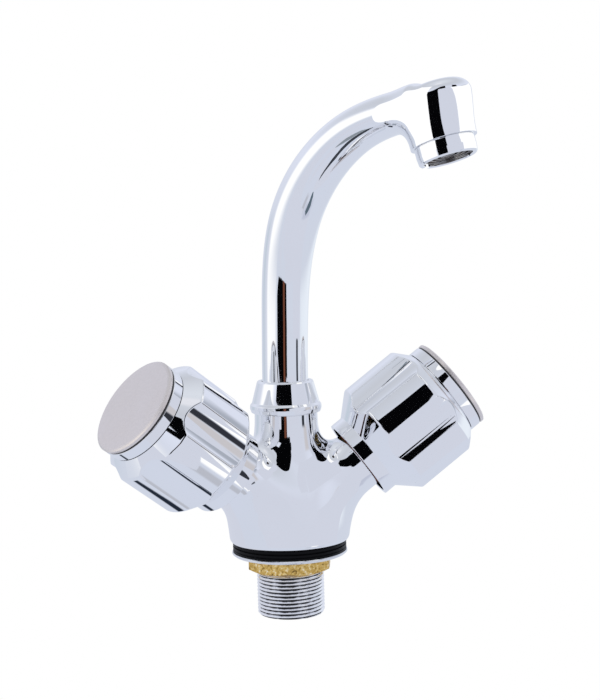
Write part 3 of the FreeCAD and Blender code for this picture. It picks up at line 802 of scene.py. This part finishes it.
def build_shank():
    pitch, R, root = 1.5, 14.0, 13.08
    n = 160
    th = np.arange(n) * 2 * math.pi / n
    zs = np.concatenate([[-27.8, -27.8], np.linspace(-27.75, -9.6, 300), [-9.55, 10.95, 10.95]])
    rows = []
    top, bottom = -9.9, -27.6
    for k, z in enumerate(zs):
        if k == 0:
            r = np.full(n, 11.8)
        elif k == len(zs) - 1:
            r = np.full(n, 11.8)
        elif k == 1:
            r = np.full(n, 13.2)
        elif z > -9.58:
            r = np.full(n, 13.8)
        else:
            ph = ((z - pitch * th / (2 * math.pi)) / pitch) % 1.0
            d = np.abs(ph - 0.5) * pitch          # 0 at crest, 0.75 at root
            prof = np.clip((d - 0.11) * math.tan(math.radians(60)), 0, R - root)
            r = R - prof
            # run-in at the lower end and run-out at the top
            r = np.minimum(r, 13.2 + (z - (-27.8)) * 0.9)
            fade = np.clip((z - (-10.6)) / 0.9, 0, 1)
            r = r * (1 - fade) + np.minimum(r, 13.6) * fade
        rows.append(np.stack([r * np.cos(th), r * np.sin(th), np.full(n, z)], -1))
    P = np.array(rows)
    # normals by differences
    dk = np.roll(P, -1, 0) - np.roll(P, 1, 0)
    dm = np.roll(P, -1, 1) - np.roll(P, 1, 1)
    N = np.cross(dm, dk)
    N /= np.maximum(np.linalg.norm(N, axis=2, keepdims=True), 1e-9)
    NB, NA = N.copy(), N.copy()
    rad = np.stack([np.cos(th), np.sin(th), 0 * th], -1)
    up = np.zeros_like(rad)
    up[:, 2] = 1
    NA[0], NB[0] = -up, -rad
    NB[1] = -up
    NA[1] = rad
    NB[-3] = N[-4]
    NA[-3] = rad
    NB[-2], NA[-2] = rad, up
    NB[-1], NA[-1] = up, -rad
    ob = grid_mesh("threaded_shank_skin", P, NB, NA)
    return finish_piece(ob, "plated_shank", "tap_body", "threaded_shank")


build_shank()


# ------------------------------------------------------------------ handles
def smin1(a, b, k):
    h = np.maximum(k - np.abs(a - b), 0) / k
    return np.minimum(a, b) - h * h * k / 4


PHASE = {1: 2.0, -1: 10.0}


def envelope(z):
    c1 = 18.2 + (z - 43.0) * (26.0 - 18.2) / (51.4 - 43.0)
    c2 = 20.3 + (82.0 - z) * (26.0 - 20.3) / (82.0 - 76.8)
    return smin1(smin1(c1, np.full_like(c1, GRIP_R), 0.5), c2, 0.7)


def flute_radius(th, side):
    d, R = 23.1 + 14.3, 14.3
    best = np.full_like(th, 99.0)
    for k in range(6):
        ph = (th - math.radians(PHASE[side] + 60 * k) + math.pi) % (2 * math.pi) - math.pi
        s = d * np.sin(ph)
        inside = (np.abs(s) < R) & (np.cos(ph) > 0)
        r = np.where(inside, d * np.cos(ph) - np.sqrt(np.maximum(R * R - s * s, 0)), 99.0)
        best = np.minimum(best, r)
    return best


def grip_r(th, z, side):
    return smin1(envelope(z), np.minimum(flute_radius(th, side), 40.0), 0.45)


def build_handle(side, label):
    n = 720
    # evenly spaced columns round the grip
    th = np.arange(n) * 2 * math.pi / n
    ph = ((np.degrees(th) - PHASE[side]) % 60) * math.pi / 30
    zgrip = np.unique(np.concatenate([np.linspace(43.0, 48.0, 16), np.linspace(48, 53, 30), np.linspace(53, 74.5, 10), np.linspace(74.5, 79.5, 30), np.linspace(79.5, 82.0, 6)]))
    pre = [(16.4, 37.5, 0.25), (18.0, 37.5, 0.3), (18.0, 42.9, 0.12)]
    post = [(20.3, 82.0), (17.4, 82.0), (17.4, 73.0), (6.0, 73.0), (6.0, 67.0), (2.3, 67.0), (2.3, 64.5), (7.95, 64.5), (7.95, 55.5), (10.5, 55.5), (10.5, 64.0), (20.6, 64.0), (20.6, 52.5), (16.4, 47.0)]
    o, nb, na = outline(pre + [(18.05, 43.0)] + post, True, 5)
    # split the plain outline where the grip goes in
    i0 = int(np.argmin(np.hypot(o[:, 0] - 18.05, o[:, 1] - 43.0)))
    i1 = int(np.argmin(np.hypot(o[:, 0] - 20.3, o[:, 1] - 82.0)))
    c, s = np.cos(th), np.sin(th)
    rows, NB, NA = [], [], []

    def plain(i):
        rows.append(np.stack([o[i, 0] * c, o[i, 0] * s, np.full(n, o[i, 1])], -1))
        NB.append(np.stack([nb[i, 0] * c, nb[i, 0] * s, np.full(n, nb[i, 1])], -1))
        NA.append(np.stack([na[i, 0] * c, na[i, 0] * s, np.full(n, na[i, 1])], -1))

    for i in range(0, i0):
        plain(i)
    e = 1e-4
    for q, z in enumerate(zgrip):
        zz = np.full(n, z)
        r = grip_r(th, zz, side)
        dt = (grip_r(th + e, zz, side) - grip_r(th - e, zz, side)) / (2 * e)
        dz = (grip_r(th, zz + e, side) - grip_r(th, zz - e, side)) / (2 * e)
        nx = c + dt / r * s
        ny = s - dt / r * c
        N = np.stack([nx, ny, -dz], -1)
        N /= np.linalg.norm(N, axis=1, keepdims=True)
        rows.append(np.stack([r * c, r * s, zz], -1))
        if q == 0:
            NB.append(np.stack([0.2 * c, 0.2 * s, np.full(n, 1.0)], -1))
        else:
            NB.append(N)
        if q == len(zgrip) - 1:
            nn = na[i1]
            NA.append(np.stack([nn[0] * c, nn[0] * s, np.full(n, nn[1])], -1))
        else:
            NA.append(N)
    for i in range(i1 + 1, len(o)):
        plain(i)
    ob = grid_mesh(label + "_handle_skin", np.array(rows), np.array(NB), np.array(NA), ARM[side])
    finish_piece(ob, "chromed_handle", label + "_handle", label + "_handle_shell")
    cap = solid_lathe(label + "_index_cap_skin", [(0, 83.0), (15.8, 83.0), (15.8, 76.0), (17.2, 76.0), (17.3, 82.3), (20.4, 82.3, 0.25), (20.4, 86.75, 0.3), (19.6, 86.75), (19.6, 87.1), (15.2, 87.1), (15.2, 86.0), (0, 86.0)], ARM[side], 192)
    finish_piece(cap, "chromed_handle", label + "_handle", label + "_index_cap")
    # a black ring in the gap behind the disc, painted shade that stands in for the shadow line there
    shadow_ring = lathe(label + "_disc_shade_ring", [(15.3, 87.13), (19.65, 87.13), (19.65, 86.79), (20.05, 86.79), (20.05, 87.38), (15.3, 87.38)], ARM[side], 192)
    finish_piece(shadow_ring, "seal_rubber", label + "_handle")


for side, label in ((-1, "hot"), (1, "cold")):
    build_handle(side, label)


# ------------------------------------------------------------------ studio
def linear(c):
    """Display values 0 to 255 as linear light."""
    return tuple((v / 255 / 12.92) if v <= 10 else ((v / 255 + 0.055) / 1.055) ** 2.4 for v in c)


def glow(name, color):
    m = bpy.data.materials.new(name)
    m.use_nodes = True
    m.node_tree.nodes.clear()
    o = m.node_tree.nodes.new("ShaderNodeOutputMaterial")
    em = m.node_tree.nodes.new("ShaderNodeEmission")
    em.inputs["Color"].default_value = (*linear(color), 1)
    em.inputs["Strength"].default_value = 1.0
    m.node_tree.links.new(em.outputs[0], o.inputs["Surface"])
    return m


def panel(name, outline2d, place, color, step=None):
    """A flag or reflector with any outline, bent by place(u, v). It is seen in reflections only."""
    bm = bmesh.new()
    bm.faces.new([bm.verts.new((u, v, 0)) for u, v in outline2d])
    bmesh.ops.triangulate(bm, faces=bm.faces[:])
    for _ in range(7 if step else 0):
        long = [e for e in bm.edges if abs(e.verts[0].co.x - e.verts[1].co.x) > step]
        if not long:
            break
        bmesh.ops.subdivide_edges(bm, edges=long, cuts=1)
        bmesh.ops.triangulate(bm, faces=bm.faces[:])
    for v in bm.verts:
        v.co = place(v.co.x, v.co.y)
    me = bpy.data.meshes.new(name)
    bm.to_mesh(me)
    bm.free()
    ob = bpy.data.objects.new(name, me)
    COLL.objects.link(ob)
    me.materials.append(glow(name, color))
    ob.visible_camera = False
    ob.visible_shadow = False
    ob.visible_diffuse = False
    return ob


def on_drum(radius):
    """Azimuth in degrees and height in mm on an upright drum round the object."""
    return lambda az, h: (radius * math.cos(math.radians(az)), radius * math.sin(math.radians(az)), h * MM)


def on_dome(radius):
    """Azimuth and elevation in degrees on a sphere round the middle of the object."""
    return lambda az, el: (radius * math.cos(math.radians(el)) * math.cos(math.radians(az)), radius * math.cos(math.radians(el)) * math.sin(math.radians(az)), 0.06 + radius * math.sin(math.radians(el)))


FLOOR_Z = -0.0282


def on_head(radius):
    """Like on_drum, but round the outlet of the spout."""
    return lambda az, h: (0.043 + radius * math.cos(math.radians(az)), -0.065 + radius * math.sin(math.radians(az)), h * MM)


def on_level(height_mm):
    """Flat, at a height above the deck, x and y in mm."""
    return lambda x, y: (x * MM, y * MM, height_mm * MM)


# the tent: its colour by elevation, then soft areas as (azimuth, elevation, half widths, softness, colour, opacity)
TENT = [(-90, (213, 219, 234)), (-30, (212, 218, 232)), (-8, (212, 218, 231)), (5, (215, 220, 233)), (25, (226, 231, 246)), (43, (208, 213, 224)), (55, (203, 207, 216)), (90, (225, 230, 238))]
SOFT = [
    (-85, 14, 34, 16, 0.3, (213, 217, 230), 0.9),
    (175, 12, 26, 22, 0.35, (266, 266, 266), 1.0),
    (118, -3, 10, 9, 0.5, (196, 208, 220), 0.8),
    (10, -3, 40, 7, 0.6, (240, 247, 255), 0.9),
    (-36, 4, 12, 7, 0.35, (205, 202, 205), 1.0),
    (-11, 18, 14, 5, 0.4, (172, 178, 190), 1.0),
    (-44, -41, 14, 5, 0.4, (195, 200, 217), 1.0),
    (-60, -27, 7, 8, 0.25, (266, 266, 266), 1.0),
    (-48, -10, 5, 8, 0.25, (50, 52, 60), 1.0),
    (-69, -45, 6, 5, 0.4, (190, 193, 203), 1.0),
    (99, -53, 5, 6, 0.3, (34, 42, 56), 1.0),
    (-128, 76, 30, 6, 0.5, (240, 240, 246), 0.7),
]

world = bpy.data.worlds.new("studio")
SCENE.world = world
world.use_nodes = True
wn = world.node_tree


def wmath(op, a, b=None):
    n = wn.nodes.new("ShaderNodeMath")
    n.operation = op
    for i, v in enumerate((a, b)):
        if v is None:
            continue
        if isinstance(v, (int, float)):
            n.inputs[i].default_value = v
        else:
            wn.links.new(v, n.inputs[i])
    return n.outputs[0]


def wdot(vec, x, y):
    n = wn.nodes.new("ShaderNodeVectorMath")
    n.operation = "DOT_PRODUCT"
    wn.links.new(vec, n.inputs[0])
    n.inputs[1].default_value = (x, y, 0)
    return n.outputs["Value"]


ray = wn.nodes.new("ShaderNodeTexCoord").outputs["Generated"]
split = wn.nodes.new("ShaderNodeSeparateXYZ")
wn.links.new(ray, split.inputs[0])
height = wmath("MULTIPLY", wmath("ARCSINE", split.outputs["Z"]), 180 / math.pi)
sky = ramp(wn, wmath("DIVIDE", wmath("ADD", height, 90.0), 180.0), [((e + 90) / 180, linear(c)) for e, c in TENT])
for a0, e0, wa, we, soft, colour, alpha in SOFT:
    ca, sa = math.cos(math.radians(a0)), math.sin(math.radians(a0))
    turn = wmath("MULTIPLY", wmath("ARCTAN2", wdot(ray, -sa, ca), wdot(ray, ca, sa)), 180 / math.pi)
    q = wmath("MAXIMUM", wmath("DIVIDE", wmath("ABSOLUTE", turn), wa), wmath("DIVIDE", wmath("ABSOLUTE", wmath("SUBTRACT", height, float(e0))), we))
    mr = wn.nodes.new("ShaderNodeMapRange")
    mr.interpolation_type = "SMOOTHSTEP"
    mr.inputs["From Min"].default_value = 1 - soft
    mr.inputs["From Max"].default_value = 1 + soft
    mr.inputs["To Min"].default_value = alpha
    mr.inputs["To Max"].default_value = 0.0
    wn.links.new(q, mr.inputs["Value"])
    mix = wn.nodes.new("ShaderNodeMixRGB")
    wn.links.new(mr.outputs["Result"], mix.inputs["Fac"])
    wn.links.new(sky, mix.inputs["Color1"])
    mix.inputs["Color2"].default_value = (*linear(colour), 1)
    sky = mix.outputs["Color"]

bg = wn.nodes["Background"]
wn.links.new(sky, bg.inputs["Color"])
bg2 = wn.nodes.new("ShaderNodeBackground")
bg2.inputs["Color"].default_value = (1, 1, 1, 1)
lp = wn.nodes.new("ShaderNodeLightPath")
mx = wn.nodes.new("ShaderNodeMixShader")
wn.links.new(lp.outputs["Is Camera Ray"], mx.inputs["Fac"])
wn.links.new(bg.outputs[0], mx.inputs[1])
wn.links.new(bg2.outputs[0], mx.inputs[2])
wn.links.new(mx.outputs[0], wn.nodes["World Output"].inputs["Surface"])

BLACK, WHITE, PALE = (4, 4, 6), (266, 266, 266), (213, 217, 230)
for name, place, colour, outline2d in (
    ("copper", on_dome(1.9), (110, 66, 50), [(-119, -13), (-119, 6), (-112, 6), (-110, -13)]),
    ("flag_low", on_dome(2), BLACK, [(-149, -9), (-142, -12), (-128, -13), (-102, -13), (-100, 12), (-149, 12)]),
    ("flag_main", on_drum(0.3), BLACK, [(-128, 108), (-128, 177), (-147, 176), (-146, 200), (-141, 205), (-141, 345), (-135, 345), (-134, 290), (-118, 300), (-110, 330), (-95, 400), (-81, 400), (-80, 262), (-84, 235), (-88, 198), (-92, 160), (-97, 125), (-98, 90)]),
    ("flag_side", on_drum(0.3), (8, 8, 10), [(-62, 260), (-46, 240), (-48, 330), (-60, 360)]),
    ("low_left", on_drum(0.2), PALE, [(-178, -28), (-140, -28), (-140, 50), (-150, 64), (-178, 64)]),
    ("low_far", on_drum(0.29), PALE, [(-152, -110), (-66, -110), (-66, 38), (-107, 38), (-108, 20), (-131, 20), (-131, 38), (-152, 38)]),
    ("low_band", on_drum(0.1), PALE, [(-145, 18), (-130, 18), (-130, -28), (-108, -28), (-108, 18), (-95, 18), (-95, 57), (-110, 57), (-110, 40), (-129, 40), (-129, 52), (-145, 52)]),
    ("low_near", on_drum(0.1), PALE, [(-82, -28), (-20, -28), (-20, 40), (-62, 40), (-68, 8), (-82, 8)]),
    ("tube_screen", on_drum(0.1), PALE, [(-72, 74), (-35, 74), (-35, 132), (-72, 132)]),
    ("low_back", on_drum(0.036), PALE, [(95, -60), (185, -60), (185, 8), (95, 8)]),
    ("arch_low", on_level(135), (92, 108, 120), [(5.6, -19.2), (8.6, -21.0), (10.6, -22.4), (12.2, -26.0), (11.6, -28.4), (10.6, -28.6), (9.4, -25.6), (7.6, -23.4), (6.0, -21.6)]),
    ("arch_high", on_level(135), (58, 62, 70), [(12.6, -31.8), (14.6, -33.8), (17.6, -35.6), (16.6, -38.0), (15.0, -40.6), (12.4, -43.2), (9.6, -43.8), (10.4, -41.8), (12.6, -39.4), (13.0, -36.2), (12.2, -33.6)]),
    ("arch_end", on_level(135), (140, 148, 156), [(9.6, -43.8), (5.0, -45.4), (0.0, -46.4), (0.0, -45.2), (5.0, -43.8), (9.8, -42.4)]),
    ("head_left", on_head(0.03), WHITE, [(-208, 140), (-150, 140), (-150, 215), (-208, 215)]),
    ("head_pale", on_head(0.06), PALE, [(-116, 160), (-60, 160), (-55, 178), (-62, 190), (-75, 205), (-116, 205)]),
    ("head_white", on_head(0.0601), WHITE, [(-60, 160), (30, 160), (30, 205), (-75, 205), (-62, 190), (-55, 178)]),
):
    panel(name, outline2d, place, colour, 3.0)

# a small pale floor, which the chrome doesn't mirror: the tent goes on below it
me = bpy.data.meshes.new("floor")
me.from_pydata([(0.42 * math.cos(t), 0.42 * math.sin(t), FLOOR_Z) for t in np.linspace(0, 2 * math.pi, 97)[:-1]], [], [tuple(range(96))])
ob = bpy.data.objects.new("floor", me)
COLL.objects.link(ob)
me.materials.append(glow("floor", (255, 255, 255)))
ob.visible_glossy = ob.visible_diffuse = False
ob.visible_transmission = ob.visible_shadow = False

# ------------------------------------------------------------------ camera at the photograph's viewpoint
R = ((0.922537672, -0.384956857, -0.027064034),
     (0.057076797, 0.066750442, 0.996135843),
     (0.381662787, 0.920517570, -0.083551901))
cam_data = bpy.data.cameras.new("camera")
cam = bpy.data.objects.new("camera", cam_data)
COLL.objects.link(cam)
M = Matrix.Identity(4)
for i in range(3):
    M[i][0], M[i][1], M[i][2] = R[0][i], R[1][i], -R[2][i]
M[0][3], M[1][3], M[2][3] = -0.22183889, -0.55204683, 0.13186901
cam.matrix_world = M
cam_data.sensor_width = 36.0
cam_data.sensor_fit = "AUTO"
cam_data.lens = 1445.469 / 700 * 36
cam_data.dof.use_dof = False
cam_data.clip_start = 0.01
SCENE.camera = cam
SCENE.view_settings.view_transform = "Standard"
SCENE.view_settings.look = "None"
